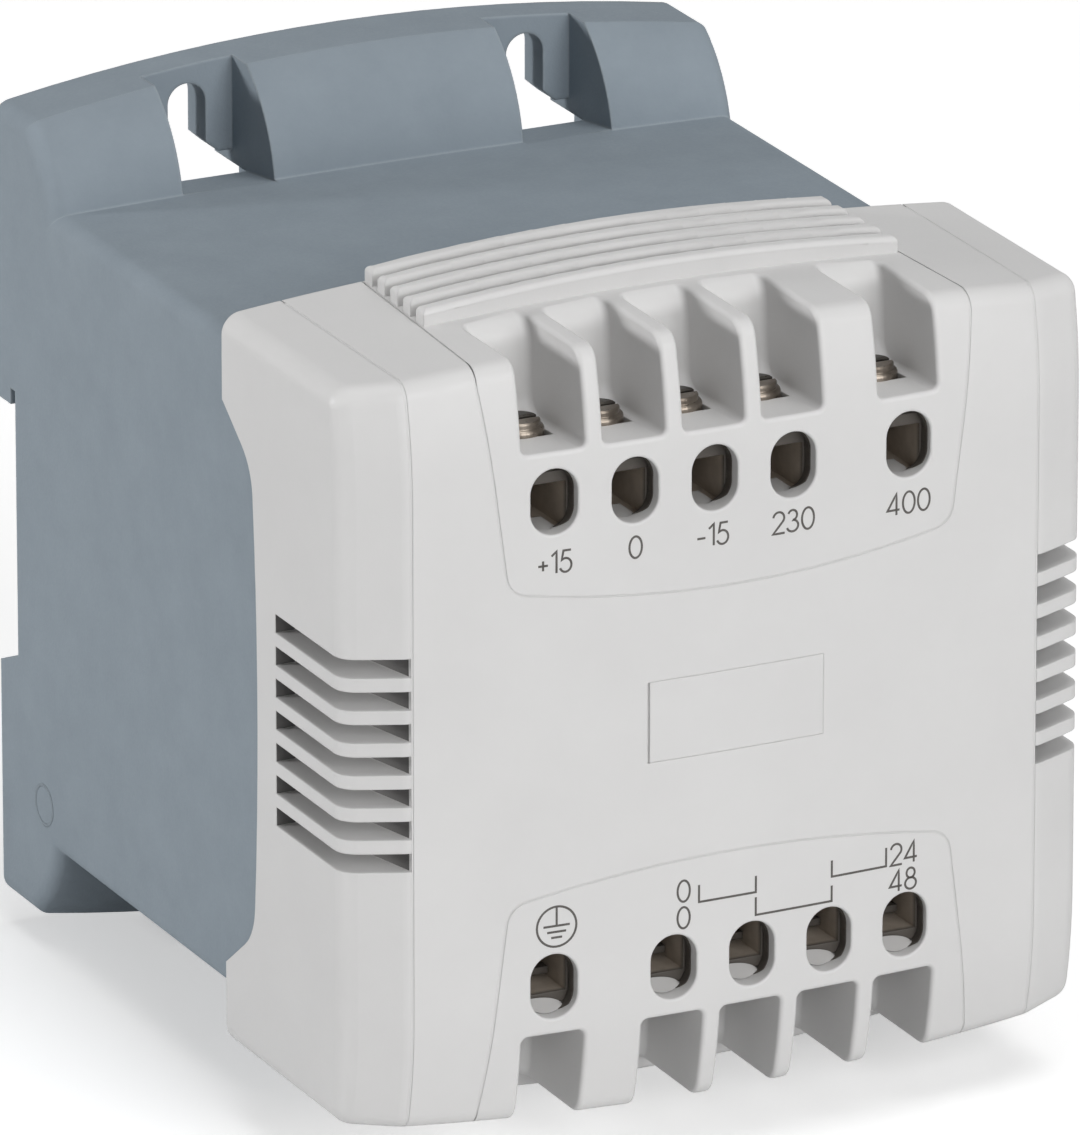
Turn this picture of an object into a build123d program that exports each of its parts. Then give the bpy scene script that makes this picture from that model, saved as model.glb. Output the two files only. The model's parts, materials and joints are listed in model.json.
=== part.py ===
from build123d import *
import math
import os

os.makedirs("parts", exist_ok=True)

# Millimetres. The back plane is y = 0, the front looks along -Y and +Z is up.
# Reach of endless cuts, how far a cut runs past its face, how far joined forms run into each other
far = 200.0
over = 1.0
bite = 0.5

# Core of E and I sheets, six modules wide and five high, and what sets the depth in front of it
lam_w = 15.0
stack_l = 45.0
core_stand = 27.0
coil_overhang = 12.5
wiring_room = 11.5
block_l = 20.0
core_mid_y = core_stand + stack_l / 2
coil_reach = stack_l / 2 + coil_overhang
block_back = core_mid_y + coil_reach + wiring_room
depth = block_back + block_l

# Rear housing
body_wall = 2.5
body_roof = 3.6
core_side_play = 2.0
core_top_play = 4.1
body_half_w = 3 * lam_w + core_side_play + body_wall
body_inner_h = 2.5 * lam_w + core_top_play
body_crown = body_inner_h + body_roof
body_arch_r = 1200.0
body_set = 26.0
body_front = depth - body_set
flange_rise = 13.8
flange_crown = body_crown + flange_rise
flange_arch_r = 280.0
flange_t = 9.9
shoulder_run = 8.7
shoulder_foot = flange_t + shoulder_run
shoulder_sink = 0.2
shoulder_drop = flange_rise + shoulder_sink
shoulder_r = 19.5
corner_r = 2.5

# Rail channel across the back, for a rail 35 wide and 1 thick
rail_h = 35.0
channel_depth = 5.6
hook_z = 14.6
hook_undercut = 2.2
hook_t = 4.2
channel_play = 1.6
step_ramp = 2.3
back_wall = 3.0

# Keyhole pockets: a slot that opens downwards in the back wall, over a ramp
key_x = 24.5
pocket_w = 13.0
pocket_wall = 5.5
pocket_step = 0.25
key_slot_w = 5.4
key_slot_cap = 3.6
key_funnel_w = 9.0
key_funnel_rise = 1.9
key_wall_rise = 0.3
key_ramp_l = 9.8
key_ramp_w = 20.0
key_ramp_drop = 1.5
key_ramp_h = 4.2

# Front cover
cover_wall = 2.4
cover_play = 0.4
cover_half_w = body_half_w + cover_play + cover_wall
cover_rise = 6.6
cover_crown = body_crown + cover_rise
cover_arch_r = 500.0
cover_l = 40.0
cover_rear = depth - cover_l
waist_in = 10.0
waist_step = 8.6
waist_low_z = 31.5
waist_high_z = 38.0
waist_high_r = 1.2
waist_low_r = 8.0
bow_r = 484.0
cheek_w = 8.3
seam_x = cover_half_w - cheek_w
seam_w = 0.24
seam_h = 0.3
cheek_r = 4.0
cheek_turn = 24.0
knee_r = 3.2
lean_h = 17.8
lean_r = 62.0
lean_turn = 25.0
cover_edge_r = 2.8
label_w = 24.8
label_h = 10.8
label_x = 0.3
label_z = 1.1
label_sink = 0.5

# Vents
vent_count = 7
vent_pitch = 4.32
vent_h = 2.5
vent_set = 15.5
vent_depth = 2.8
vent_open_l = 8.0
vent_block_in = 0.6
vent_margin = 2.0
vent_rear = cover_rear + vent_set

# Where the cover bears on the housing
web_inset = 9.5
web_x = body_half_w - web_inset
web_t = 1.8
web_set = 2.0
web_rear = cover_rear + web_set
snap_z = 29.0
snap_l = 10.0
snap_set = 3.2
snap_rear = body_front - snap_set
snap_run = 2.2
snap_flat = 0.8
snap_h = 1.3
snap_room = 0.2

# Terminal blocks, drawn for the upper one and set down from the cover's crown
pitch = 11.05
stations = (-2.25, -1.25, -0.25, 0.75, 2.25)
block_drop = 33.8
block_sag = 3.0
block_inner_crown = cover_crown - block_drop
block_inner_corner_z = block_inner_crown + block_sag
block_corner_x = 31.0
block_side_slope = 0.13
block_corner_r = 3.0
block_top_front_x = 34.7
block_top_rear_x = 32.6
block_gap = 0.2
block_rim = 2.0
block_rim_l = 5.6
slab_t = 4.3
slab_under = cover_crown - slab_t
slab_web_x = 20.0
block_front_wall = 3.0
block_low_drop = 27.2
rib_count = 5
rib_pitch = 4.2
rib_set = 0.2
rib_rear = cover_rear + rib_set
rib_w = 2.4
rib_end = 0.2
rib_rise = 2.8
rib_crown = cover_crown + rib_rise
rib_arch_r = 311.0
rib_r = 0.8
hole_drop = 19.4
hole_z = cover_crown - hole_drop
hole_w = 6.4
hole_h = 8.7
slot_w = 8.6
slot_drop = 13.6
slot_fall = 0.8
slot_floor = cover_crown - slot_drop
slot_low_l = 16.5
slot_top_l = 17.0
slot_rear_r = 3.0
slot_brow_r = 3.6
slot_brow_play = 0.25
slot_corner_r = 0.9
slot_mouth_r = 0.6
hole_mouth_r = 0.3

# Clamps and terminal screws
screw_set = 11.1
screw_y = depth - screw_set
cage_w = 7.8
cage_behind = 3.6
cage_wall = 1.1
cage_top_wall = 1.5
cage_drop = 25.2
cage_floor_z = cover_crown - cage_drop
cage_h = 9.0
cage_play = 0.2
tail_w = 4.0
tail_l = 5.6
tail_t = 0.9
guide_x = 1.6
guide_l = 5.0
guide_h = 1.4
guide_play = 0.2
head_d = 5.8
head_h = 2.8
head_r = 0.6
head_crown_d = 5.0
head_crown_h = 1.0
head_slot_w = 1.0
head_slot_h = 1.4
thread_d = 4.0
thread_l = 2.1
plate_t = 0.9
plate_play = 0.15
plate_l = 6.2
pit_w = 6.8
pit_play = 0.2

# Core and coil
core_hole_d = 4.6
coil_play = 0.2
bobbin_wall = 1.3
bobbin_flange_t = 1.5
bobbin_flange_play = 0.4
wind_inset = 1.6
tape_t = 0.6
wind_r = 9.0
lead_d = 1.9
lead_z = 14.0
earth_eye_d = 8.0
earth_eye_t = 0.8
earth_tab_l = 7.6
earth_tab_w = 2.4
lead_spread = 0.7
lead_run = 4.0
lead_bend_r = 5.0
bolt_d = 4.0
bolt_head_d = 7.0
bolt_head_h = 3.0
bolt_grip = 12.0
bolt_room = 0.5
washer_d = 9.0
washer_t = 1.0
boss_d = 11.0

# Rail latch
latch_half_w = 11.0
latch_back = 1.0
latch_front = 4.2
latch_foot = 57.0
latch_overlap = 2.0
latch_nose_ramp = 2.2
latch_tip_t = 0.8
tongue_w = 2.0
tongue_t = 1.2
tongue_top = 24.0
tongue_foot = 52.0
latch_play = 0.2
window_half_w = 3.4
window_top = 28.0
stop_z = 44.0
stop_h = 3.0
stop_half_w = 3.0
spring_t = 0.5
spring_w = 2.6
spring_half_w = 2.4
spring_bends = 4
grip_w = 8.0
grip_h = 2.4


def box(x0, x1, y0, y1, z0, z1):
    centre = Pos((x0 + x1) / 2, (y0 + y1) / 2, (z0 + z1) / 2)
    return centre * Box(abs(x1 - x0), abs(y1 - y0), abs(z1 - z0))


# A side-view outline of (y, z) corners pulled along X
def bar(points, x0, x1):
    face = make_face(Polyline(*[(x0, y, z) for y, z in points], close=True))
    return extrude(face, amount=x1 - x0, dir=(1, 0, 0))


# All that lies under an arched top and over its mirror image
def arched(crown, radius, y0, y1):
    drum = Pos(0, (y0 + y1) / 2, crown - radius) * Rot(90, 0, 0) * Cylinder(radius, abs(y1 - y0))
    return drum & mirror(drum, about=Plane.XY)


def upright(x, y, z0, z1, dia):
    return Pos(x, y, (z0 + z1) / 2) * Cylinder(dia / 2, abs(z1 - z0))


def along_y(x, z, y0, y1, dia):
    return Pos(x, (y0 + y1) / 2, z) * Rot(90, 0, 0) * Cylinder(dia / 2, abs(y1 - y0))


def both_ends(shape):
    return shape + mirror(shape, about=Plane.XY)


def both_sides(shape):
    return shape + mirror(shape, about=Plane.YZ)


# Rear housing: outer form
def flange():
    zc = flange_crown
    zb = -over
    zf = flange_crown - shoulder_drop
    run = shoulder_foot - flange_t
    chord = math.hypot(run, shoulder_drop)
    bulge = shoulder_r - math.sqrt(shoulder_r**2 - chord**2 / 4)
    ym = -flange_t - run / 2 - bulge * shoulder_drop / chord
    zm = zc - shoulder_drop / 2 + bulge * run / chord
    outline = [
        Line((0, 0, zb), (0, 0, zc)),
        Line((0, 0, zc), (0, -flange_t, zc)),
        ThreePointArc((0, -flange_t, zc), (0, ym, zm), (0, -shoulder_foot, zf)),
        Line((0, -shoulder_foot, zf), (0, -shoulder_foot, zb)),
        Line((0, -shoulder_foot, zb), (0, 0, zb)),
    ]
    axis = Axis((0, 0, flange_crown - flange_arch_r), (0, 1, 0))
    ring = revolve(make_face(outline), axis)
    return ring & box(-body_half_w, body_half_w, 0, -far, 0, far)


body_outer = arched(body_crown, body_arch_r, 0, -body_front)
body_outer &= box(-body_half_w, body_half_w, 0, -body_front, -far, far)
housing_outer = body_outer + both_ends(flange())
side_edges = [
    e
    for e in housing_outer.edges()
    if abs(abs(e.center().X) - body_half_w) < 0.01
    and abs(e.center().Z) > hook_z
    and -body_front + 0.1 < e.center().Y < -0.1
]
housing_outer = fillet(side_edges, corner_r)


# Rear housing: hollows, rail channel, keyholes
inner_half_w = body_half_w - body_wall
inner_back = channel_depth + back_wall
channel_top = hook_z + hook_undercut
channel_foot = channel_top - rail_h - channel_play
core_back = core_stand
core_front = core_stand + stack_l
bolt_x = 2.5 * lam_w
bolt_z = 2 * lam_w
bolt_spots = [(x, z) for x in (-bolt_x, bolt_x) for z in (-bolt_z, bolt_z)]
recess_floor = latch_front + latch_play


key_ramp_top = body_crown - key_ramp_drop
key_ramp_foot = key_ramp_top - key_ramp_h


def keyhole(x):
    floor = body_crown - pocket_step
    slope = (floor - key_ramp_top) / (shoulder_foot - key_ramp_l)
    front = 2 * shoulder_foot
    behind = -pocket_wall - over
    reach = pocket_w / 2
    pocket = bar(
        [
            (-pocket_wall, key_ramp_top),
            (-key_ramp_l, key_ramp_top),
            (-front, key_ramp_top + slope * (front - key_ramp_l)),
            (-front, far),
            (-pocket_wall, far),
        ],
        x - reach,
        x + reach,
    )
    ramp = bar(
        [(over, key_ramp_top), (-key_ramp_l, key_ramp_top), (0, key_ramp_foot), (over, key_ramp_foot)],
        x - key_ramp_w / 2,
        x + key_ramp_w / 2,
    )
    half = key_slot_w / 2
    wide = key_funnel_w / 2
    wall_foot = body_crown + key_wall_rise
    throat_top = body_crown + key_funnel_rise
    entry = box(x - reach, x + reach, over, behind, key_ramp_top - bite, wall_foot)
    throat = [
        (x - half, throat_top),
        (x + half, throat_top),
        (x + wide, wall_foot),
        (x + wide, wall_foot - bite),
        (x - wide, wall_foot - bite),
        (x - wide, wall_foot),
    ]
    funnel = extrude(
        make_face(Polyline(*[(px, over, pz) for px, pz in throat], close=True)),
        amount=over - behind,
        dir=(0, -1, 0),
    )
    round_z = flange_crown - key_slot_cap - half
    slot = box(x - half, x + half, over, behind, wall_foot, round_z)
    slot += along_y(x, round_z, over, behind, key_slot_w)
    return pocket + ramp + entry + funnel + slot


def plan_bar(points, z0, z1):
    face = make_face(Polyline(*[(x, y, z0) for x, y in points], close=True))
    return extrude(face, amount=z1 - z0, dir=(0, 0, 1))


def snap(grow):
    x0 = body_half_w - bite
    x1 = body_half_w + snap_h + grow
    tip = -snap_rear - snap_run - grow
    points = [
        (x0, tip),
        (x0, -snap_rear),
        (x1, -snap_rear),
        (x1, -snap_rear - snap_flat - grow),
    ]
    half = snap_l / 2 + grow
    return both_sides(both_ends(plan_bar(points, snap_z - half, snap_z + half)))


housing = housing_outer - box(
    -inner_half_w, inner_half_w, -inner_back, -far, -body_inner_h, body_inner_h
)
housing -= bar(
    [
        (over, hook_z),
        (-hook_t, hook_z),
        (-hook_t, channel_top),
        (-channel_depth, channel_top),
        (-channel_depth, channel_foot),
        (0, channel_foot - step_ramp),
        (over, channel_foot - step_ramp),
    ],
    -far,
    far,
)
housing -= both_sides(both_ends(keyhole(key_x)))
recess_half_w = latch_half_w + latch_play
housing -= box(-recess_half_w, recess_half_w, over, -recess_floor, channel_foot + over, -far)
groove_half_w = latch_half_w + tongue_w + latch_play
groove_back = latch_front - tongue_t - latch_play
housing -= box(-groove_half_w, groove_half_w, -groove_back, -recess_floor, -tongue_top + latch_play, -far)
room_top = key_ramp_foot - body_wall
housing -= box(
    -inner_half_w, inner_half_w, -back_wall, -inner_back - over, channel_top + body_wall, room_top
)
housing -= both_sides(
    box(
        groove_half_w + body_wall, inner_half_w, -back_wall, -inner_back - over,
        -room_top, channel_foot - step_ramp - body_wall,
    )
)
housing += box(
    -stop_half_w, stop_half_w, -recess_floor - bite, -latch_back - latch_play, -stop_z, stop_h - stop_z
)
for x, z in bolt_spots:
    housing += along_y(x, z, -back_wall + bite, -core_back, boss_d)
for x, z in bolt_spots:
    housing -= along_y(x, z, -core_back + bolt_grip + bolt_room, -core_back - over, bolt_d)
housing += snap(0)

# Front cover: the plan outline is a bowed front, two rounded cheeks and straight sides
seam_turn = math.degrees(math.asin(seam_x / bow_r))


def turn_point(centre, radius, heading):
    a = math.radians(heading)
    return (centre[0] + radius * math.sin(a), centre[1] - radius * math.cos(a))


def step_centre(point, radius, heading):
    a = math.radians(heading)
    return (point[0] - radius * math.sin(a), point[1] + radius * math.cos(a))


bow_c = (0, -depth + bow_r)
cheek_c = step_centre(turn_point(bow_c, bow_r, seam_turn), cheek_r, seam_turn)
cheek_end = turn_point(cheek_c, cheek_r, cheek_turn)
cheek_slope = math.tan(math.radians(cheek_turn))
knee_x = cover_half_w - knee_r
knee_start = knee_x + knee_r * math.sin(math.radians(cheek_turn))
knee_c = step_centre(
    (knee_start, cheek_end[1] + (knee_start - cheek_end[0]) * cheek_slope), knee_r, cheek_turn
)


def plan_face(inset, rear, z):
    def arc(centre, radius, h0, h1):
        return [(*turn_point(centre, radius - inset, h), z) for h in (h0, (h0 + h1) / 2, h1)]

    def flip(point):
        return (-point[0], point[1], z)

    cheek = arc(cheek_c, cheek_r, seam_turn, cheek_turn)
    knee = arc(knee_c, knee_r, cheek_turn, 90)
    side = (knee[2][0], rear, z)
    edges = [ThreePointArc(*arc(bow_c, bow_r, -seam_turn, seam_turn))]
    for steps in (cheek, knee):
        edges.append(ThreePointArc(*steps))
        edges.append(ThreePointArc(*[flip(p) for p in steps]))
    for start, end in ((cheek[2], knee[0]), (knee[2], side)):
        edges.append(Line(start, end))
        edges.append(Line(flip(start), flip(end)))
    edges.append(Line(side, flip(side)))
    return make_face(edges)


# The plan carried straight up, then back along an arc towards the crown, and under the arched top
def cover_form(inset, rear, edge_r):
    lean_z = cover_crown - lean_h
    radius = lean_r - inset
    bends = [math.radians(lean_turn * k / 2) for k in range(3)]
    path = ThreePointArc(
        *[(0, radius * (1 - math.cos(a)), lean_z + radius * math.sin(a)) for a in bends]
    )
    upper = sweep(plan_face(inset, rear, lean_z), path=path, normal=(0, 0, 1))
    form = extrude(plan_face(inset, rear, -lean_z), amount=2 * lean_z, dir=(0, 0, 1))
    form += both_ends(upper)
    form &= arched(cover_crown - inset, cover_arch_r - inset, over, -far)
    form &= box(-far, far, rear, -far, -far, far)
    by_height = form.faces().sort_by(Axis.Z)
    round_edges = [
        e
        for face in (by_height[0], by_height[-1])
        for e in face.edges()
        if e.center().Y < rear - over
    ]
    return fillet(round_edges, edge_r)


cover_outer = cover_form(0, -cover_rear, cover_edge_r)
cover_inner = cover_form(cover_wall, 0, cover_edge_r - cover_wall)
cover = cover_outer - cover_inner


# Terminal block outlines: seen from the front, then from above
def block_outline(grow):
    k = block_side_slope
    sag = block_inner_corner_z - block_inner_crown
    arc_r = (block_corner_x**2 + sag**2) / (2 * sag)
    zc = block_inner_crown + arc_r
    x = block_corner_x
    for _ in range(20):
        z = zc - math.sqrt((arc_r + grow) ** 2 - x**2)
        x = block_corner_x + k * (z - block_inner_corner_z) + grow * math.sqrt(1 + k * k)
    x_high = x + k * (far - z)
    edges = [
        ThreePointArc((-x, 0, z), (0, 0, block_inner_crown - grow), (x, 0, z)),
        Line((x, 0, z), (x_high, 0, far)),
        Line((x_high, 0, far), (-x_high, 0, far)),
        Line((-x_high, 0, far), (-x, 0, z)),
    ]
    shape = extrude(make_face(edges), amount=far, dir=(0, -1, 0))
    corners = [e for e in shape.edges().filter_by(Axis.Y) if e.center().Z < far / 2]
    return fillet(corners, block_corner_r + grow)


def block_plan(grow):
    taper = (block_top_front_x - block_top_rear_x) / (depth - cover_rear)
    y_front = -depth - over
    y_rear = -cover_rear + over
    x_front = block_top_front_x + grow + over * taper
    x_rear = block_top_rear_x + grow - over * taper
    return plan_bar(
        [(-x_front, y_front), (x_front, y_front), (x_rear, y_rear), (-x_rear, y_rear)], 0, far
    )


block_hole = block_outline(block_gap) & block_plan(block_gap)
turned = Rot(0, 180, 0)


# The rear edge of each side steps forward in an S and bows along the waist
def waist():
    behind = (-far, -cover_rear + over, 0)
    high = (-far, -cover_rear, waist_high_z)
    low = (-far, -cover_rear - waist_step, waist_low_z)
    mid = (-far, -cover_rear - waist_in, 0)

    def under(point):
        return (point[0], point[1], -point[2])

    start = (-far, behind[1], waist_high_z)
    edges = [
        Polyline(under(low), under(high), under(start), start, high, low),
        ThreePointArc(low, mid, under(low)),
    ]
    cut = extrude(make_face(edges), amount=2 * far, dir=(1, 0, 0))
    for (_, y, z), radius in ((high, waist_high_r), (low, waist_low_r)):
        corners = [
            e
            for e in cut.edges().filter_by(Axis.X)
            if abs(abs(e.center().Z) - z) + abs(e.center().Y - y) < 0.01
        ]
        cut = fillet(corners, radius)
    return cut


# Front cover: vents, waist, bearing webs, label field
bow_edge = turn_point(bow_c, bow_r, seam_turn)[1]
vent_half_h = vent_pitch * (vent_count - 1) / 2 + vent_h / 2 + vent_margin
cover += cover_inner & both_sides(
    box(seam_x + vent_block_in, far, -body_front, -far, -vent_half_h, vent_half_h)
)
cover += both_sides(
    both_ends(
        (cover_inner & box(web_x - web_t / 2, web_x + web_t / 2, -web_rear, -body_front, 0, far))
        - body_outer
    )
)
vent_wall_x = cover_half_w - vent_depth
vent_plan = [(seam_x, -far), (far, -far), (far, -vent_rear), (vent_wall_x, -vent_rear), (seam_x, bow_edge)]
for i in range(vent_count):
    z = vent_pitch * (i - (vent_count - 1) / 2)
    cover -= both_sides(plan_bar(vent_plan, z - vent_h / 2, z + vent_h / 2))
    cover -= both_sides(
        box(web_x, vent_wall_x + over, -vent_rear, -vent_rear - vent_open_l, z - vent_h / 2, z + vent_h / 2)
    )
cover -= waist()
cover -= block_hole
cover -= turned * block_hole
cover -= snap(snap_room)
cover -= box(
    label_x - label_w / 2,
    label_x + label_w / 2,
    -depth + label_sink,
    -far,
    label_z - label_h / 2,
    label_z + label_h / 2,
)

seam_skin = cover_form(seam_h, 0, cover_edge_r - seam_h)
cover -= both_sides(
    box(seam_x - seam_w / 2, seam_x + seam_w / 2, -cover_rear + over, -far, -far, far) - seam_skin
)

# Terminal block, drawn for the upper row
block_form = block_outline(0) & block_plan(0)
terminal_x = [pitch * s for s in stations]
cage_top = cage_floor_z + cage_h


def screw_channel(x):
    front = -depth - over
    rear_low = slot_low_l - depth
    rear_top = slot_top_l - depth
    crown = cover_crown - cover_arch_r + math.sqrt(cover_arch_r**2 - x**2) + slot_brow_play
    outline = [
        (front, slot_floor + slot_fall * (1 + over / slot_low_l)),
        (rear_low, slot_floor),
        (rear_top, crown),
        (rear_top + 2 * slot_brow_r, crown),
        (rear_top + 2 * slot_brow_r, crown + over),
        (front, crown + over),
    ]
    cutter = bar(outline, x - slot_w / 2, x + slot_w / 2)
    for y, z, radius in ((rear_low, slot_floor, slot_rear_r), (rear_top, crown, slot_brow_r)):
        corner = [
            e
            for e in cutter.edges().filter_by(Axis.X)
            if abs(e.center().Y - y) + abs(e.center().Z - z) < 0.01
        ]
        cutter = fillet(corner, radius)
    rails = [
        e
        for e in cutter.edges()
        if abs(abs(e.center().X - x) - slot_w / 2) < 0.01
        and e.center().Y > front + 0.01
        and e.center().Z < crown - slot_brow_r
    ]
    return fillet(rails, slot_corner_r)


def wire_entry(x, y1):
    half = (hole_h - hole_w) / 2
    hole = box(x - hole_w / 2, x + hole_w / 2, -far, y1, hole_z - half, hole_z + half)
    for z in (hole_z - half, hole_z + half):
        hole += along_y(x, z, -far, y1, hole_w)
    return hole


block = cover_outer & block_form & box(-far, far, -block_back, -far, 0, far)
block += cover_outer & block_form & box(-far, far, -cover_rear, -block_back - over, slab_under, far)
block += cover_inner & block_outline(block_rim) & box(-far, far, block_rim_l - depth, -far, 0, far)
for x in (-slab_web_x, 0, slab_web_x):
    block += box(
        x - web_t / 2, x + web_t / 2, -web_rear, -body_front, body_inner_h, slab_under + bite
    ) - body_outer
low_form = block_outline(-block_rim) & box(
    -far, far, -block_back + over, -depth + block_front_wall, 0, cover_crown - block_low_drop
)
block -= low_form
for i in range(rib_count):
    y = -rib_rear - rib_pitch * i
    rib = arched(rib_crown, rib_arch_r, y, y - rib_w)
    rib &= block_plan(-rib_end) & box(-far, far, y, y - rib_w, slab_under + bite, far)
    rib = fillet(rib.faces().sort_by(Axis.Z)[-1].edges(), rib_r)
    block += rib
rib_front = rib_rear + rib_pitch * (rib_count - 1) + rib_w
cell_front = -depth + block_front_wall
pit_l = head_d + 2 * pit_play
cage_bore = cage_w / 2 - cage_wall
guide_end = cell_front + guide_l
for x in terminal_x:
    half = cage_w / 2 + cage_play
    block -= box(x - half, x + half, cell_front, -block_back + over, cage_floor_z, cage_top + cage_play)
    block += box(
        x - cage_bore + guide_play, x + guide_x, cell_front - bite, guide_end,
        cage_floor_z - bite, cage_floor_z + guide_h,
    )
    block -= box(
        x - pit_w / 2, x + pit_w / 2, -screw_y - pit_l / 2, -screw_y + pit_l / 2,
        cage_top, slot_floor + over,
    )
    block -= wire_entry(x, cell_front + bite)
    block -= screw_channel(x)
skin = cover_outer.shells()[0]


# Edges of the block that lie on the cover's outer surface, between two heights at one terminal
def mouth_edges(x, half, z0, z1):
    found = []
    for e in block.edges():
        mid = e.position_at(0.5)
        if abs(mid.X - x) < half and z0 < mid.Z < z1 and mid.Y < -rib_front:
            if skin.distance_to(Vertex(*mid)) < 0.01:
                found.append(e)
    return found


for x in terminal_x:
    block = fillet(mouth_edges(x, slot_w / 2 + 0.01, slot_floor, far), slot_mouth_r)
    block = fillet(mouth_edges(x, hole_w / 2 + 0.01, cage_floor_z, slot_floor), hole_mouth_r)

# Clamps, screws and pressure plates of one row
clamps = []
screws = []
plates = []
thread_end = cage_top - thread_l
cage_front = cell_front + cage_play
cage_rear = -screw_y + cage_behind
for x in terminal_x:
    half = cage_w / 2
    cage = box(x - half, x + half, cage_front, cage_rear, cage_floor_z, cage_top)
    cage -= box(
        x - cage_bore, x + cage_bore, -far, 0, cage_floor_z + cage_wall, cage_top - cage_top_wall
    )
    cage -= box(
        x - cage_bore, x + guide_x + guide_play, -far, guide_end + guide_play,
        cage_floor_z - over, cage_floor_z + cage_wall + over,
    )
    cage -= upright(x, -screw_y, cage_top - cage_top_wall - over, cage_top + over, thread_d)
    cage += box(
        x - tail_w / 2, x + tail_w / 2, cage_rear - bite, cage_rear + tail_l,
        cage_floor_z, cage_floor_z + tail_t,
    )
    clamps.append(cage)
    screw = upright(x, -screw_y, cage_top, cage_top + head_h, head_d)
    screw = fillet(screw.faces().sort_by(Axis.Z)[-1].edges(), head_r)
    head_top = cage_top + head_h + head_crown_h
    screw += upright(x, -screw_y, cage_top + bite, head_top, head_crown_d)
    screw -= box(
        x - far, x + far, -screw_y - head_slot_w / 2, -screw_y + head_slot_w / 2,
        head_top - head_slot_h, far,
    )
    screws.append(screw + upright(x, -screw_y, thread_end, cage_top + bite, thread_d))
    half = cage_bore - plate_play
    plates.append(
        box(
            x - half, x + half, -screw_y - plate_l / 2, -screw_y + plate_l / 2,
            thread_end - plate_t, thread_end,
        )
    )

# Core, bobbin, windings
half_stack = stack_l / 2
u = lam_w
core_e = box(-3 * u, 3 * u, -core_back, -core_front, -1.5 * u, 2.5 * u)
core_e -= both_sides(box(u, 2 * u, 0, -far, -1.5 * u - over, 1.5 * u))
core_i = box(-3 * u, 3 * u, -core_back, -core_front, -2.5 * u, -1.5 * u)
for x, z in bolt_spots:
    core_e -= along_y(x, z, 0, -far, core_hole_d)
    core_i -= along_y(x, z, 0, -far, core_hole_d)


def ring_bar(half_x, half_y, z0, z1, radius):
    outline = Pos(0, -core_mid_y, z0) * RectangleRounded(2 * half_x, 2 * half_y, radius)
    return extrude(outline, amount=z1 - z0)


leg_half_x = u + coil_play
leg_half_y = half_stack + coil_play
tube_half_x = leg_half_x + bobbin_wall
tube_half_y = leg_half_y + bobbin_wall
rim_half_x = 2 * u - bobbin_flange_play
coil_h = 1.5 * u
tube = box(
    -tube_half_x, tube_half_x, -core_mid_y - tube_half_y, -core_mid_y + tube_half_y, -coil_h, coil_h
)
bobbin = tube
for z0 in (-coil_h, -bobbin_flange_t / 2, coil_h - bobbin_flange_t):
    bobbin += ring_bar(rim_half_x, coil_reach, z0, z0 + bobbin_flange_t, wind_inset)
bobbin -= box(
    -leg_half_x, leg_half_x, -core_mid_y - leg_half_y, -core_mid_y + leg_half_y, -far, far
)
tape_half_x = rim_half_x - wind_inset
tape_half_y = coil_reach - wind_inset
wind_z = (bobbin_flange_t / 2, coil_h - bobbin_flange_t)
tape = ring_bar(tape_half_x, tape_half_y, *wind_z, wind_r)
wound = ring_bar(tape_half_x - tape_t, tape_half_y - tape_t, *wind_z, wind_r - tape_t)
tape -= wound
winding = wound - tube


# Leads run from the coil's front to the clamp tails
def lead(start, end):
    out = (start[0], start[1] - lead_run, start[2])
    back = (end[0], end[1] + lead_run, end[2])
    path = FilletPolyline(start, out, back, end, radius=lead_bend_r)
    section = Plane(origin=start, z_dir=(0, -1, 0)) * Circle(lead_d / 2)
    return sweep(section, path=path)


tail_end = cage_rear + tail_l
tail_z = cage_floor_z + tail_t / 2
coil_face = -core_mid_y - tape_half_y
leads = [
    lead((x * lead_spread, coil_face, lead_z), (x, tail_end, tail_z)) for x in terminal_x
]

# Core bolts, washers, earth lead
earth_spot = bolt_spots[0]
bolts = []
washers = []
for x, z in bolt_spots:
    under = core_front + (earth_eye_t if (x, z) == earth_spot else 0)
    washer = along_y(x, z, -under, -under - washer_t, washer_d)
    washers.append(washer - along_y(x, z, 0, -far, core_hole_d))
    face_y = -under - washer_t
    bolt = along_y(x, z, face_y, face_y - bolt_head_h, bolt_head_d)
    bolt -= box(
        x - far, x + far, face_y - bolt_head_h / 2, -far, z - head_slot_w / 2, z + head_slot_w / 2
    )
    bolts.append(bolt + along_y(x, z, face_y, -core_back + bolt_grip, bolt_d))
eye_x, eye_z = earth_spot
earth = along_y(eye_x, eye_z, -core_front, -core_front - earth_eye_t, earth_eye_d)
earth += box(
    eye_x, eye_x + earth_tab_l, -core_front, -core_front - earth_eye_t,
    eye_z - earth_tab_w / 2, eye_z + earth_tab_w / 2,
)
earth -= along_y(eye_x, eye_z, 0, -far, core_hole_d)
earth += lead(
    (eye_x + earth_tab_l - earth_tab_w / 2, -core_front - earth_eye_t, eye_z),
    (-terminal_x[-1], tail_end, -tail_z),
)

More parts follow.
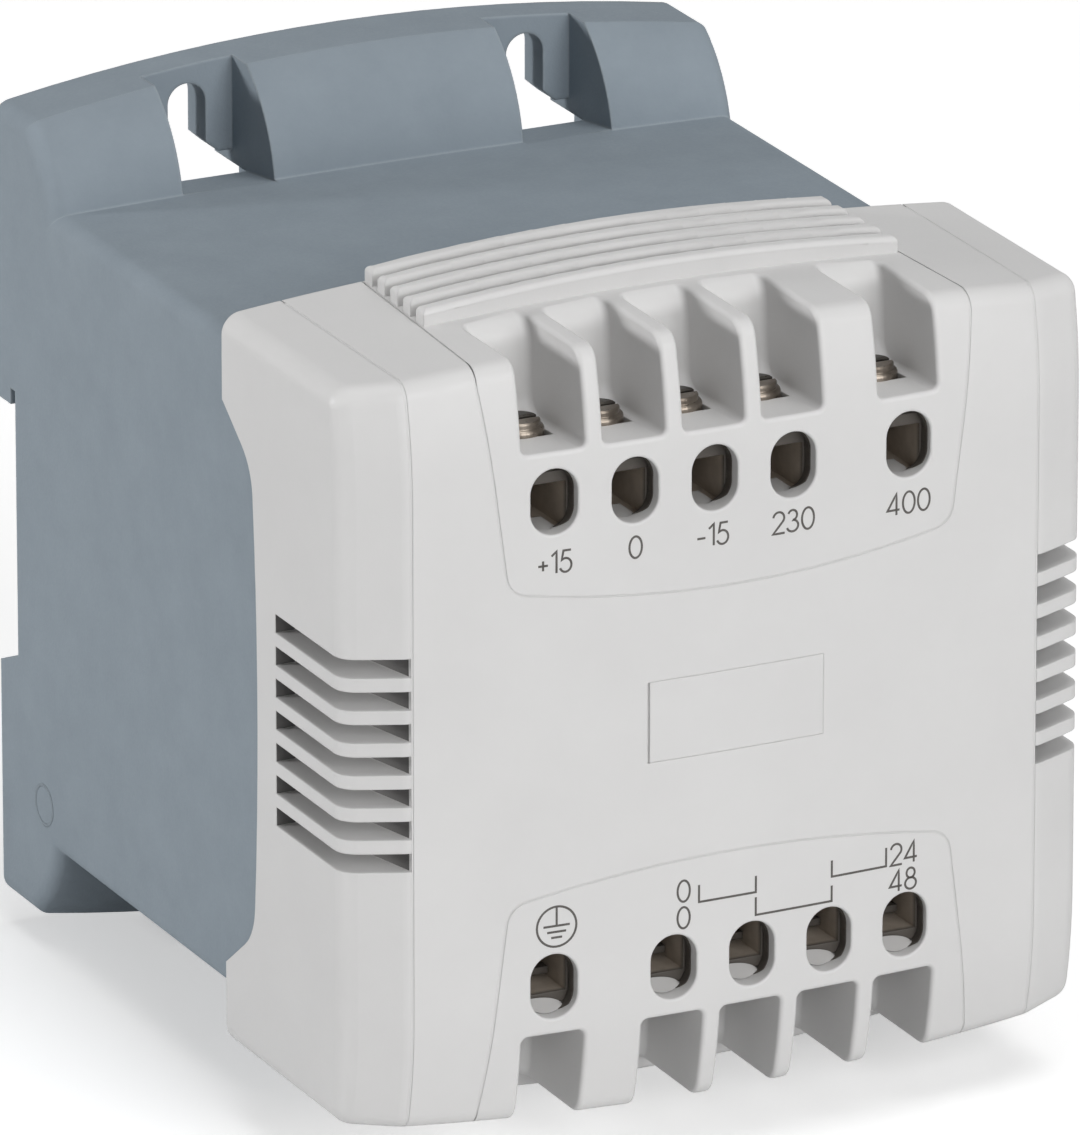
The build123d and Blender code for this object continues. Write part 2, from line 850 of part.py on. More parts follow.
# Rail latch and its zigzag strip spring
nose_top = channel_foot + channel_play + latch_overlap
latch = box(-latch_half_w, latch_half_w, -latch_back, -latch_front, -latch_foot, nose_top)
latch -= bar(
    [
        (-latch_back, nose_top - latch_nose_ramp),
        (-latch_front + latch_tip_t, nose_top),
        (-latch_front + latch_tip_t, nose_top + over),
        (-latch_back, nose_top + over),
    ],
    -far,
    far,
)
tongue_half_w = latch_half_w + tongue_w
latch += box(
    -tongue_half_w, tongue_half_w, -latch_front + tongue_t, -latch_front, -tongue_foot, -tongue_top
)
latch -= box(-window_half_w, window_half_w, 0, -far, -stop_z, -window_top)
latch -= box(-grip_w / 2, grip_w / 2, 0, -far, -latch_foot + grip_h / 2, -latch_foot + 1.5 * grip_h)

spring_z0 = -stop_z + stop_h + spring_t / 2
spring_z1 = -window_top - spring_t / 2
spring_x = spring_half_w - spring_t / 2
spring_y = -(latch_back + latch_front) / 2
turns = [(-spring_x, spring_z0)]
for i in range(spring_bends + 1):
    side = 1 if i % 2 == 0 else -1
    turns.append((side * spring_x, spring_z0 + (spring_z1 - spring_z0) * i / spring_bends))
turns.append((-turns[-1][0], spring_z1))
spring = None
for (xa, za), (xb, zb) in zip(turns, turns[1:]):
    run = math.hypot(xb - xa, zb - za)
    tilt = -math.degrees(math.atan2(zb - za, xb - xa))
    middle = Pos((xa + xb) / 2, spring_y, (za + zb) / 2)
    strip = middle * Rot(0, tilt, 0) * Box(run, spring_w, spring_t)
    spring = strip if spring is None else spring + strip
for x, z in turns:
    spring += along_y(x, z, spring_y - spring_w / 2, spring_y + spring_w / 2, spring_t)


def save(name, *solids):
    export_step(Compound(children=list(solids)), f"parts/{name}.step")


def each_turned(solids):
    return [turned * s for s in solids]


save("rear_housing", housing)
save("front_cover", cover)
save("upper_terminal_block", block)
save("lower_terminal_block", turned * block)
save("upper_clamps", *clamps)
save("lower_clamps", *each_turned(clamps))
save("upper_screws", *screws)
save("lower_screws", *each_turned(screws))
save("upper_pressure_plates", *plates)
save("lower_pressure_plates", *each_turned(plates))
save("core_e_stack", core_e)
save("core_i_stack", core_i)
save("bobbin", bobbin)
save("primary_winding", winding)
save("secondary_winding", turned * winding)
save("primary_tape", tape)
save("secondary_tape", turned * tape)
save("core_bolts", *bolts)
save("core_washers", *washers)
save("primary_leads", *leads)
save("secondary_leads", *each_turned(leads[:-1]))
save("earth_lead", earth)
save("rail_latch", latch)
save("latch_spring", spring)
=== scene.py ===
import json
import math
import bmesh
import bpy
import numpy as np
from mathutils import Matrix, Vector


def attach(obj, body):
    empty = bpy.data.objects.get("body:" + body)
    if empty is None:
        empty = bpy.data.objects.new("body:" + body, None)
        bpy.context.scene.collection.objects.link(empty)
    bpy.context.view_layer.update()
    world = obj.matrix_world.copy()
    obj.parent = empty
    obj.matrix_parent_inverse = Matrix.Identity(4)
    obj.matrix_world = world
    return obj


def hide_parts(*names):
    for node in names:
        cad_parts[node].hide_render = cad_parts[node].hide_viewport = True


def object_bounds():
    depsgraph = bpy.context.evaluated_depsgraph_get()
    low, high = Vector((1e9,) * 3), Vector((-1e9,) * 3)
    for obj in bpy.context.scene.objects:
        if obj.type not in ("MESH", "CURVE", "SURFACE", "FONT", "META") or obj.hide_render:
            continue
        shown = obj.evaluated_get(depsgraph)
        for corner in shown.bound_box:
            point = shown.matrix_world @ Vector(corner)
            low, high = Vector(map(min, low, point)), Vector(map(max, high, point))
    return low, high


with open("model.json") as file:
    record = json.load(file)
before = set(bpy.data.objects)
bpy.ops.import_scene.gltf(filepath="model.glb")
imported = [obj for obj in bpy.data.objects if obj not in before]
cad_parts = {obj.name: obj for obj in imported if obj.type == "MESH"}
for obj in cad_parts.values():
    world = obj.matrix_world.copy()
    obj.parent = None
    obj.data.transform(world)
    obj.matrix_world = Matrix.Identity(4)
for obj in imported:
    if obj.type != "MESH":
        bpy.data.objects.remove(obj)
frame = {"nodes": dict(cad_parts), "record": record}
nodes = frame["nodes"]
cadLow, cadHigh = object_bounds()
mm = 0.001  # shapes are drawn in millimetres, looks and the stage are in metres
print("frame loaded:", len(nodes), "nodes")


# Material helpers

noiseStyle = dict(
    cloudRough=0.62, grainDetail=2.0, grainRough=0.6, metalDetail=4.0, scratchDetail=2.0, evenRough=0.5,
)
# the last two limits set where the painted edge highlight, with some edge wear, is full and where it ends
edgeStyle = dict(samples=6, sheenAndRubFullAt=0.90, sheenAndRubNoneAt=0.995)


def newMaterial(name):
    mat = bpy.data.materials.new(name)
    mat.use_nodes = True
    return mat, mat.node_tree, mat.node_tree.nodes["Principled BSDF"]


def addNode(tree, kind, **values):  # a value goes to the input of its name, or else to the node's setting
    node = tree.nodes.new(kind)
    for key, value in values.items():
        if key in node.inputs:
            node.inputs[key].default_value = value
        else:
            setattr(node, key, value)
    return node


def objectNoise(tree, scale, detail, roughness, stretch=None):  # noise on the object's own coordinates
    place = addNode(tree, "ShaderNodeTexCoord").outputs["Object"]
    if stretch:
        mapping = addNode(tree, "ShaderNodeMapping", Scale=stretch)
        tree.links.new(place, mapping.inputs["Vector"])
        place = mapping.outputs["Vector"]
    noise = addNode(tree, "ShaderNodeTexNoise", Scale=scale, Detail=detail, Roughness=roughness)
    tree.links.new(place, noise.inputs["Vector"])
    return noise.outputs["Fac"]


def spread(tree, source, low, high, fromLow=0.3, fromHigh=0.7):  # most of a noise lies between 0.3 and 0.7
    ramp = addNode(tree, "ShaderNodeMapRange")
    ramp.inputs["From Min"].default_value = fromLow
    ramp.inputs["From Max"].default_value = fromHigh
    ramp.inputs["To Min"].default_value = low
    ramp.inputs["To Max"].default_value = high
    tree.links.new(source, ramp.inputs["Value"])
    return ramp.outputs["Result"]


def colourSockets(sockets):
    return [s for s in sockets if s.type == "RGBA"]


def tint(tree, factor, first, second):  # from the first colour to the second, each fixed or another node's
    mix = addNode(tree, "ShaderNodeMix", data_type="RGBA")
    for socket, value in zip(colourSockets(mix.inputs), (first, second)):
        if isinstance(value, bpy.types.NodeSocket):
            tree.links.new(value, socket)
        else:
            socket.default_value = (*value, 1)
    tree.links.new(factor, mix.inputs["Factor"])
    return colourSockets(mix.outputs)[0]


def softEdge(tree, radius):  # moulded and rolled edges catch light
    bevel = addNode(tree, "ShaderNodeBevel", samples=edgeStyle["samples"], Radius=radius)
    return bevel.outputs["Normal"]


def sheenAndRubEdges(tree, soft, colour, sheenAndRubColour, amount):  # paler where the rounded normal leaves the true one: painted edge highlight, with some edge wear
    shape = addNode(tree, "ShaderNodeNewGeometry")
    turn = addNode(tree, "ShaderNodeVectorMath", operation="DOT_PRODUCT")
    tree.links.new(soft, turn.inputs[0])
    tree.links.new(shape.outputs["Normal"], turn.inputs[1])
    factor = spread(tree, turn.outputs["Value"], amount, 0, edgeStyle["sheenAndRubFullAt"], edgeStyle["sheenAndRubNoneAt"])
    return tint(tree, factor, colour, sheenAndRubColour)


def alongY(tree, start, end):  # 0 to 1 between two depths of the object
    coords = addNode(tree, "ShaderNodeTexCoord")
    split = addNode(tree, "ShaderNodeSeparateXYZ")
    tree.links.new(coords.outputs["Object"], split.inputs["Vector"])
    return spread(tree, split.outputs["Y"], 0, 1, start, end)


def glossAndBump(tree, shader, texture, look, soft):  # one texture gives both, over softened edges
    gloss = spread(tree, texture, look["roughLow"], look["roughHigh"])
    tree.links.new(gloss, shader.inputs["Roughness"])
    bump = addNode(tree, "ShaderNodeBump", Strength=look["bump"], Distance=look["depth"])
    tree.links.new(texture, bump.inputs["Height"])
    tree.links.new(soft, bump.inputs["Normal"])
    tree.links.new(bump.outputs["Normal"], shader.inputs["Normal"])


# Moulded plastic: soft clouding in the colour, fine spark-eroded grain in bump and gloss

def grainFinish(tree, shader, look, soft):
    grain = objectNoise(tree, look["grainScale"], noiseStyle["grainDetail"], noiseStyle["grainRough"])
    shader.inputs["Specular IOR Level"].default_value = look["specular"]
    glossAndBump(tree, shader, grain, look, soft)


def mouldedPlastic(name, look):
    mat, tree, shader = newMaterial(name)
    soft = softEdge(tree, look["edge"])
    cloud = objectNoise(tree, look["cloudScale"], look["cloudDetail"], noiseStyle["cloudRough"])
    colour = tint(tree, spread(tree, cloud, 0, 1), look["dark"], look["light"])
    # painted edge highlight with some wear: edges paler than the body colour
    if look["sheenAndRub"]:
        colour = sheenAndRubEdges(tree, soft, colour, look["sheenAndRubColour"], look["sheenAndRub"])
    tree.links.new(colour, shader.inputs["Base Color"])
    grainFinish(tree, shader, look, soft)
    return mat


housingLook = dict(
    dark=(0.252, 0.296, 0.335), light=(0.276, 0.322, 0.363), cloudScale=150, cloudDetail=9.0,
    sheenAndRubColour=(0.40, 0.45, 0.49), sheenAndRub=0.55, grainScale=1900, roughLow=0.62, roughHigh=0.80,
    specular=0.14, bump=0.45, depth=0.00008, edge=0.0006,
)
coverLook = dict(
    dark=(0.645, 0.640, 0.637), light=(0.672, 0.668, 0.664), cloudScale=45, cloudDetail=4.0,
    sheenAndRubColour=(0.72, 0.715, 0.71), sheenAndRub=0.5, grainScale=3200, roughLow=0.40, roughHigh=0.52,
    specular=0.4, bump=0.18, depth=0.00004, edge=0.0003,
)
latchLook = dict(
    dark=(0.018, 0.018, 0.019), light=(0.026, 0.026, 0.027), cloudScale=80, cloudDetail=4.0,
    sheenAndRubColour=(0.06, 0.06, 0.06), sheenAndRub=0.5, grainScale=2600, roughLow=0.42, roughHigh=0.58,
    specular=0.45, bump=0.3, depth=0.00005, edge=0.0003,
)
bobbinLook = dict(latchLook, dark=(0.014, 0.014, 0.015), light=(0.020, 0.020, 0.021))
sleeveLook = dict(coverLook, dark=(0.46, 0.45, 0.43), light=(0.52, 0.51, 0.49), sheenAndRub=0, bump=0.05)
earthLook = dict(sleeveLook, dark=(0.16, 0.30, 0.05), light=(0.20, 0.34, 0.06))
tapeLook = dict(
    dark=(0.62, 0.45, 0.10), light=(0.70, 0.52, 0.13), cloudScale=120, cloudDetail=4.0,
    sheenAndRubColour=(0.74, 0.58, 0.2), sheenAndRub=0.3, grainScale=900, roughLow=0.18, roughHigh=0.32,
    specular=0.5, bump=0.06, depth=0.00003, edge=0.0002,
)


# Metal: tone clouds, fine scratches stretched along one axis

def workedMetal(name, look):
    mat, tree, shader = newMaterial(name)
    shader.inputs["Metallic"].default_value = look["metallic"]
    cloud = objectNoise(tree, look["cloudScale"], noiseStyle["metalDetail"], noiseStyle["evenRough"])
    colour = tint(tree, spread(tree, cloud, 0, 1), look["dark"], look["light"])
    # painted shade: darker towards the front edges where a look asks for it
    if "frontShade" in look:
        colour = tint(tree, alongY(tree, *look["frontShadeDepths"]), look["frontShade"], colour)
    tree.links.new(colour, shader.inputs["Base Color"])
    scratch = objectNoise(
        tree, look["scratchScale"], noiseStyle["scratchDetail"], noiseStyle["evenRough"], look["stretch"]
    )
    glossAndBump(tree, shader, scratch, look, softEdge(tree, look["edge"]))
    return mat


screwLook = dict(
    dark=(0.142, 0.119, 0.097), light=(0.275, 0.240, 0.202), cloudScale=420, stretch=(1, 1, 6),
    scratchScale=900, roughLow=0.26, roughHigh=0.42, bump=0.15, depth=0.00003, edge=0.0002, metallic=0.85,
)
# painted shade: a darker copy of the screw metal for the rear half of each head
shadedScrewTopLook = dict(screwLook, dark=(0.035, 0.031, 0.027), light=(0.075, 0.067, 0.058), metallic=0.5)
clampLook = dict(  # painted shade: darkened at its front edges, bright plating inside
    screwLook, dark=(0.38, 0.325, 0.27), light=(0.47, 0.41, 0.345), roughLow=0.40, roughHigh=0.58,
    metallic=0.1, frontShade=(0.070, 0.061, 0.052), frontShadeDepths=(-0.1128, -0.1119),
)
# painted shade: a dark metal for the hole mouths, for the shade inside the wire holes
shadedMouthLook = dict(
    screwLook, dark=(0.062, 0.054, 0.046), light=(0.098, 0.088, 0.077), roughLow=0.45, roughHigh=0.6,
    metallic=0.2,
)
coreLook = dict(
    screwLook, dark=(0.10, 0.105, 0.11), light=(0.16, 0.165, 0.17), cloudScale=90, stretch=(1, 40, 1),
    scratchScale=60, roughLow=0.38, roughHigh=0.6, bump=0.5, metallic=1.0,
)
copperLook = dict(
    screwLook, dark=(0.52, 0.20, 0.09), light=(0.68, 0.30, 0.14), cloudScale=200, stretch=(1, 1, 60),
    scratchScale=30, roughLow=0.2, roughHigh=0.35, bump=0.6, metallic=1.0,
)
springLook = dict(screwLook, dark=(0.42, 0.42, 0.42), light=(0.56, 0.56, 0.56))

finishes = {
    "housing_plastic": mouldedPlastic("greyBlueShell", housingLook),
    "cover_plastic": mouldedPlastic("paleGreyShell", coverLook),
    "latch_plastic": mouldedPlastic("blackLatch", latchLook),
    "bobbin_plastic": mouldedPlastic("blackBobbin", bobbinLook),
    "lead_sleeve": mouldedPlastic("leadSleeve", sleeveLook),
    "earth_sleeve": mouldedPlastic("earthSleeve", earthLook),
    "coil_tape": mouldedPlastic("coilTape", tapeLook),
    "screw_steel": workedMetal("nickelScrew", screwLook),
    "plated_steel": workedMetal("platedClamp", clampLook),
    "core_steel": workedMetal("coreSheets", coreLook),
    "winding_copper": workedMetal("woundCopper", copperLook),
    "spring_steel": workedMetal("stripSpring", springLook),
}
for part in frame["record"]["subparts"]:
    obj = nodes[part["node"]]
    obj.data.materials.clear()
    obj.data.materials.append(finishes[part["material_slot"]])
print("finishes on:", len(finishes), "slots")


# Shape helpers: every shape is an array of points and an array of four-cornered faces

blockRows = (("upper", 1), ("lower", -1))  # the lower block is the upper one turned half a turn about Y
weld = 0.005 * mm
mitreLimit = 2
frontBow = dict(radius=484, y=cadLow.y / mm)


def frontY(x):  # depth of the bowed front, an upright drum of large radius
    return frontBow["y"] + frontBow["radius"] - np.sqrt(frontBow["radius"] ** 2 - x * x)


def arc(cx, cz, rx, rz, start, end, steps=22):  # ellipse: the radii times the heading's cosine and sine
    a = np.radians(np.linspace(start, end, steps))
    return np.column_stack((cx + rx * np.cos(a), cz + rz * np.sin(a)))


def ring(cx, cz, rx, rz):  # a whole ellipse from its top, its last point on its first
    return arc(cx, cz, rx, rz, 90, 450, steps=41)


def path(*parts):  # points and runs of points in one line
    return np.vstack([np.atleast_2d(np.array(p, float)) for p in parts])


def closer(points, step):  # each run cut into equal pieces under the step, so that it follows the bow
    run = np.diff(points, axis=0)
    counts = (np.linalg.norm(run, axis=1) / step).astype(int) + 1
    first = np.repeat(np.arange(len(run)), counts)
    share = (np.arange(counts.sum()) - np.repeat(np.cumsum(counts) - counts, counts)) / counts[first]
    return np.vstack((points[first] + run[first] * share[:, None], points[-1:]))


# Faces between neighbouring rows and columns of a grid of points, joined round where a side is a loop
def gridQuads(rows, columns, rowLoop=False, columnLoop=False):
    r = np.arange(rows if rowLoop else rows - 1)[:, None]
    c = np.arange(columns if columnLoop else columns - 1)
    r2 = (r + 1) % rows
    c2 = (c + 1) % columns
    corners = (r * columns + c, r * columns + c2, r2 * columns + c2, r2 * columns + c)
    return np.stack(corners, 2).reshape(-1, 4)


def outward(points, quads):  # a closed solid, turned the right way out where its volume is negative
    a, b, c, d = np.moveaxis((points - points.mean(0))[quads], 1, 0)
    volume = (a * (np.cross(b, c) + np.cross(c, d))).sum()
    return points, quads if volume > 0 else quads[:, ::-1]


# A rectangle carried along a flat line with mitred corners, then laid on a face by the lay function
def strokeSolid(points, width, low, high, lay):
    closed = np.allclose(points[0], points[-1])
    line = points[:-1] if closed else points
    ahead = np.roll(line, -1, 0) - line
    if not closed:
        ahead[-1] = ahead[-2]
    ahead /= np.linalg.norm(ahead, axis=1)[:, None]
    behind = np.roll(ahead, 1, 0)
    if not closed:
        behind[0] = ahead[0]
    both = ahead + behind
    side = np.column_stack((-both[:, 1], both[:, 0])) / np.linalg.norm(both, axis=1)[:, None]
    square = np.column_stack((-ahead[:, 1], ahead[:, 0]))
    mitre = 1 / np.maximum((side * square).sum(1), 1 / mitreLimit)
    reach = side * (mitre * width / 2)[:, None]
    corners = [(line - reach, low), (line - reach, high), (line + reach, high), (line + reach, low)]
    rings = np.stack([lay(p, lift) for p, lift in corners], 1)
    quads = gridQuads(len(line), 4, rowLoop=closed, columnLoop=True)
    if not closed:
        end = np.arange(4)
        quads = np.vstack((quads, end[::-1], end + 4 * (len(line) - 1)))
    return outward(rings.reshape(-1, 3), quads)


# One mesh of many shapes, some in a second material, with the points of seams and poles merged
def meshPiece(name, shapes, material, others=(), otherMaterial=None):
    verts, faces, base = [], [], 0
    for points, quads in [*shapes, *others]:
        verts.append(points)
        faces.append(quads + base)
        base += len(points)
    mesh = bpy.data.meshes.new(name)
    mesh.from_pydata((np.vstack(verts) * mm).tolist(), [], np.vstack(faces).tolist())
    mesh.materials.append(material)
    if otherMaterial:
        mesh.materials.append(otherMaterial)
        counts = [sum(len(quads) for points, quads in group) for group in (shapes, others)]
        mesh.polygons.foreach_set("material_index", np.repeat((0, 1), counts))
    form = bmesh.new()
    form.from_mesh(mesh)
    bmesh.ops.remove_doubles(form, verts=form.verts, dist=weld)
    form.to_mesh(mesh)
    form.free()
    mesh.validate()
    mesh.update()
    piece = bpy.data.objects.new(name, mesh)
    bpy.context.scene.collection.objects.link(piece)
    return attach(piece, "enclosure")


# Printed marks: strokes on the bowed front, one thin ink solid each

markStyle = dict(capHeight=2.85, stroke=0.30, ink=0.012, sink=0.05, gap=0.17, step=0.8)
inkLook = dict(
    dark=(0.085, 0.078, 0.072), light=(0.125, 0.117, 0.110), cloudScale=900, cloudDetail=3.0, sheenAndRub=0,
    grainScale=3000, roughLow=0.5, roughHigh=0.65, specular=0.3, bump=0.05, depth=0.00002, edge=0.00002,
)
numerals = {  # the width of each sign and its strokes, in cap heights
    "0": (0.60, [ring(0.30, 0.5, 0.30, 0.5)]),
    "1": (0.24, [path((0.0, 0.80), (0.24, 1.0), (0.24, 0.0))]),
    "2": (0.56, [path(arc(0.28, 0.72, 0.27, 0.28, 172, -32), (0.0, 0.0), (0.58, 0.0))]),
    "3": (0.54, [path(arc(0.24, 0.76, 0.22, 0.24, 160, -80), arc(0.24, 0.27, 0.28, 0.27, 80, -165))]),
    "4": (0.62, [path((0.46, 0.0), (0.46, 1.0), (0.0, 0.24), (0.62, 0.24))]),
    "5": (0.54, [path((0.52, 1.0), (0.16, 1.0), (0.08, 0.57), arc(0.26, 0.32, 0.28, 0.32, 118, -158))]),
    "8": (0.56, [ring(0.28, 0.765, 0.21, 0.235), ring(0.28, 0.27, 0.28, 0.27)]),
    "+": (0.46, [path((0.0, 0.40), (0.46, 0.40)), path((0.23, 0.17), (0.23, 0.63))]),
    "-": (0.40, [path((0.0, 0.40), (0.40, 0.40))]),
}
upperRow = dict(
    words=("+15", "0", "-15", "230", "400"), stations=(-2.25, -1.25, -0.25, 0.75, 2.25), pitch=11.05,
    offsets=(0, 0, -0.35, 0, 0), bases=(23.0, 23.45, 23.5, 23.6, 23.3),
)
lowerRow = dict(
    words=[("0", -7.0, -23.7), ("0", -7.0, -27.3), ("24", 24.6, -24.0), ("48", 24.5, -27.6)],
    links=[
        [(-4.85, -21.8), (-4.85, -24.1), (3.2, -24.1), (3.2, -21.9)],
        [(3.2, -24.8), (3.2, -27.2), (14.1, -27.2), (14.1, -25.1)],
        [(14.1, -21.7), (14.1, -23.9), (22.0, -23.9), (22.0, -21.4)],
    ],
    earth=dict(centre=(-24.6, -24.3), radius=2.70, bars=((1.8, 0.1), (1.3, -0.7), (0.75, -1.45))),
)
stationX = np.array(upperRow["stations"]) * upperRow["pitch"]


def onFront(p, lift):  # flat points put on the bowed front, raised towards the viewer
    return np.column_stack((p[:, 0], frontY(p[:, 0]) - lift, p[:, 1]))


def inkStroke(points):  # a stroke sunk into the front, with only the ink's thickness standing proud
    line = closer(points, markStyle["step"])
    return strokeSolid(line, markStyle["stroke"], -markStyle["sink"], markStyle["ink"], onFront)


def wordStrokes(word, centreX, baseZ):  # signs side by side with even gaps, centred on the given place
    widths = [numerals[sign][0] for sign in word]
    x = -(sum(widths) + markStyle["gap"] * (len(word) - 1)) / 2
    strokes = []
    for sign, width in zip(word, widths):
        for points in numerals[sign][1]:
            strokes.append(inkStroke((points + (x, 0)) * markStyle["capHeight"] + (centreX, baseZ)))
        x += width + markStyle["gap"]
    return strokes


def upperMarks():  # a number under each terminal
    strokes = []
    for word, x, offset, base in zip(upperRow["words"], stationX, upperRow["offsets"], upperRow["bases"]):
        strokes += wordStrokes(word, x + offset, base)
    return strokes


def lowerMarks():  # numbers, stepped lines that link the terminals, and the earth sign
    strokes = []
    for word, x, z in lowerRow["words"]:
        strokes += wordStrokes(word, x, z)
    earth = lowerRow["earth"]
    stemFoot = earth["bars"][0][1]
    lines = [ring(0, 0, earth["radius"], earth["radius"]), path((0, earth["radius"]), (0, stemFoot))]
    lines += [path((-half, drop), (half, drop)) for half, drop in earth["bars"]]
    strokes += [inkStroke(path(*link)) for link in lowerRow["links"]]
    return strokes + [inkStroke(line + earth["centre"]) for line in lines]


markInk = mouldedPlastic("markInk", inkLook)
meshPiece("upperMarks", upperMarks(), markInk)
meshPiece("lowerMarks", lowerMarks(), markInk)

# Blank label plate in the cover's shallow field, with a shadow gap along its left edge
labelPlate = dict(left=-11.80, right=12.72, z=1.1, height=10.76, back=-0.45, face=-0.02, step=0.8)
plateEnds = path((labelPlate["left"], labelPlate["z"]), (labelPlate["right"], labelPlate["z"]))
plateLine = closer(plateEnds, labelPlate["step"])
plateSolid = strokeSolid(plateLine, labelPlate["height"], labelPlate["back"], labelPlate["face"], onFront)
meshPiece("labelPlate", [plateSolid], finishes["cover_plastic"])
print("marks printed and label set")


# Moulded ring on the housing's left side
sideRing = dict(x=-49.5, centre=(-13.4, -38.2), radius=2.7, width=0.5, rise=0.03, sink=0.05)


def onLeftSide(p, lift):  # flat points put on the upright left side, raised outwards
    return np.column_stack((np.full(len(p), sideRing["x"]) - lift, p[:, 0], p[:, 1]))


ringLine = ring(0, 0, sideRing["radius"], sideRing["radius"]) + sideRing["centre"]
ringSolid = strokeSolid(ringLine, sideRing["width"], -sideRing["sink"], sideRing["rise"], onLeftSide)
meshPiece("sideRing", [ringSolid], finishes["housing_plastic"])
print("side ring set")


# Pale lips in the gap round each terminal block and in the parting grooves, just under the cover's skin

coverSkin = dict(
    crown=51.8, archR=500.0, edgeR=2.8, leanZ=34.0, leanR=62.0, rear=-77.2, edgeSteps=12, topSteps=30,
)
blockGap = dict(
    width=0.30, sink=0.09, topSink=0.03, arcLow=18.0, cornerX=31.0, cornerZ=21.0, cornerR=3.1, slope=0.13,
    grow=0.1, topFront=34.7, topRear=32.6, topDepth=40, footSteps=40, bendSteps=12, sideSteps=60,
)
partingGroove = dict(x=44.0, width=0.23, sink=0.07, topSink=-0.045, steps=40)


def topZ(x):  # height of the cover's arched top
    return coverSkin["crown"] - coverSkin["archR"] + np.sqrt(coverSkin["archR"] ** 2 - x * x)


def coverY(x, z):  # depth of the cover's front: the bow, carried back along an arc above the upright middle
    over = np.maximum(z - coverSkin["leanZ"], 0)
    return frontY(x) + coverSkin["leanR"] - np.sqrt(coverSkin["leanR"] ** 2 - over**2)


def gapFront():  # right half of the outline: arc along the foot, rounded corner, then the sloped side
    g = blockGap
    sag = g["cornerZ"] - g["arcLow"]
    footR = (g["cornerX"] ** 2 + sag**2) / (2 * sag) + g["grow"]
    footZ = g["arcLow"] + footR - g["grow"]
    lean = math.atan(g["slope"])
    inset = g["cornerX"] + (g["grow"] - g["cornerR"]) / math.cos(lean) - g["slope"] * g["cornerZ"]
    inner = footR - g["cornerR"]
    # the corner's centre is where the side, moved in, meets the foot's arc, moved in: the lower of two roots
    steep = 1 + g["slope"] ** 2
    middle = footZ - g["slope"] * inset
    cz = (middle - math.sqrt(middle**2 - steep * (inset**2 + footZ**2 - inner**2))) / steep
    cx = inset + g["slope"] * cz
    turn = math.degrees(math.atan2(cz - footZ, cx))
    foot = arc(0, footZ, footR, footR, -90, turn, g["footSteps"])
    bend = arc(cx, cz, g["cornerR"], g["cornerR"], turn, -math.degrees(lean), g["bendSteps"])
    x, z = bend[-1]
    rise = np.linspace(z, coverSkin["crown"], g["sideSteps"])[1:]
    return path(foot, bend[1:], np.column_stack((x + g["slope"] * (rise - z), rise)))


def gapTop(y):  # the gap draws in towards the rear on the cover's top
    share = (y - frontBow["y"]) / blockGap["topDepth"]
    return blockGap["topFront"] + (blockGap["topRear"] - blockGap["topFront"]) * share + blockGap["grow"]


# Points and outward directions of a line up the cover's front, round its edge's arc and back along its top
def skinLine(front, topX):
    s = coverSkin
    x, z = front.T
    inner = s["leanR"] - s["edgeR"]
    centreZ = topZ(x) - s["edgeR"]
    start = np.arcsin((centreZ - s["leanZ"]) / inner)
    k = np.argmax(z > centreZ + s["edgeR"] * np.sin(start))  # first point past the start of the edge
    centreY = frontY(x[k]) + s["leanR"] - inner * np.cos(start[k])
    a = np.linspace(start[k], math.pi / 2, s["edgeSteps"])
    out = np.column_stack((0 * a, -np.cos(a), np.sin(a)))
    y = np.linspace(centreY, s["rear"], s["topSteps"])[1:]
    line = path(
        np.column_stack((x[:k], coverY(x[:k], z[:k]), z[:k])),
        out * s["edgeR"] + (x[k], centreY, centreZ[k]),
        np.column_stack((topX(y), y, topZ(topX(y)))),
    )
    return line, path(np.tile((0, -1, 0), (k, 1)), out, np.tile((0, 0, 1), (len(y), 1)))


# A band carried along the line, half its width to each side, sunk under the skin by another depth on the top
def skinBand(line, facing, style, mirror, turned):
    across = np.cross(np.gradient(line, axis=0), facing)
    half = across / np.linalg.norm(across, axis=1)[:, None] * style["width"] / 2
    line = line - facing * (style["sink"] + style["topSink"] * facing[:, 2:])
    points = np.vstack((line - half, line + half)) * (mirror * turned, 1, turned)
    return points, gridQuads(2, len(line))[:, ::-mirror]


def gapBand(mirror, turned):  # half of the block's outline, or its mirror image
    return skinBand(*skinLine(gapFront(), gapTop), blockGap, mirror, turned)


def grooveBand(mirror, turned):  # straight up beside each cheek
    z = np.linspace(0, coverSkin["crown"], partingGroove["steps"])
    front = np.column_stack((0 * z + partingGroove["x"], z))
    return skinBand(*skinLine(front, lambda y: 0 * y + partingGroove["x"]), partingGroove, mirror, turned)


grooveBands = [grooveBand(mirror, turned) for mirror in (1, -1) for turned in (1, -1)]
meshPiece("partingLips", grooveBands, finishes["cover_plastic"])
for row, turned in blockRows:
    meshPiece(row + "GapLip", [gapBand(1, turned), gapBand(-1, turned)], finishes["cover_plastic"])
print("lips set")


# Facing on the rib nearest the front: a sheet between the cover's arched top and the rib's own arch
ribFacing = dict(
    front=-95.44, rear=-92.96, half=33.3, crown=54.6, archR=311.0, edge=0.8, overlap=0.1, columns=61, rows=3,
)


def ribSheet(y, turned, facing):  # a grid from the lower arch to the upper one, seen from the front or rear
    r = ribFacing
    x = np.linspace(-r["half"], r["half"], r["columns"])
    low = topZ(x) - r["overlap"]
    high = r["crown"] - r["archR"] + np.sqrt(r["archR"] ** 2 - x**2) - r["edge"]
    z = low + (high - low) * np.linspace(0, 1, r["rows"])[:, None]
    points = np.stack((x + 0 * z, y + 0 * z, z), 2).reshape(-1, 3) * (turned, 1, turned)
    return points, gridQuads(r["rows"], r["columns"])[:, ::facing]


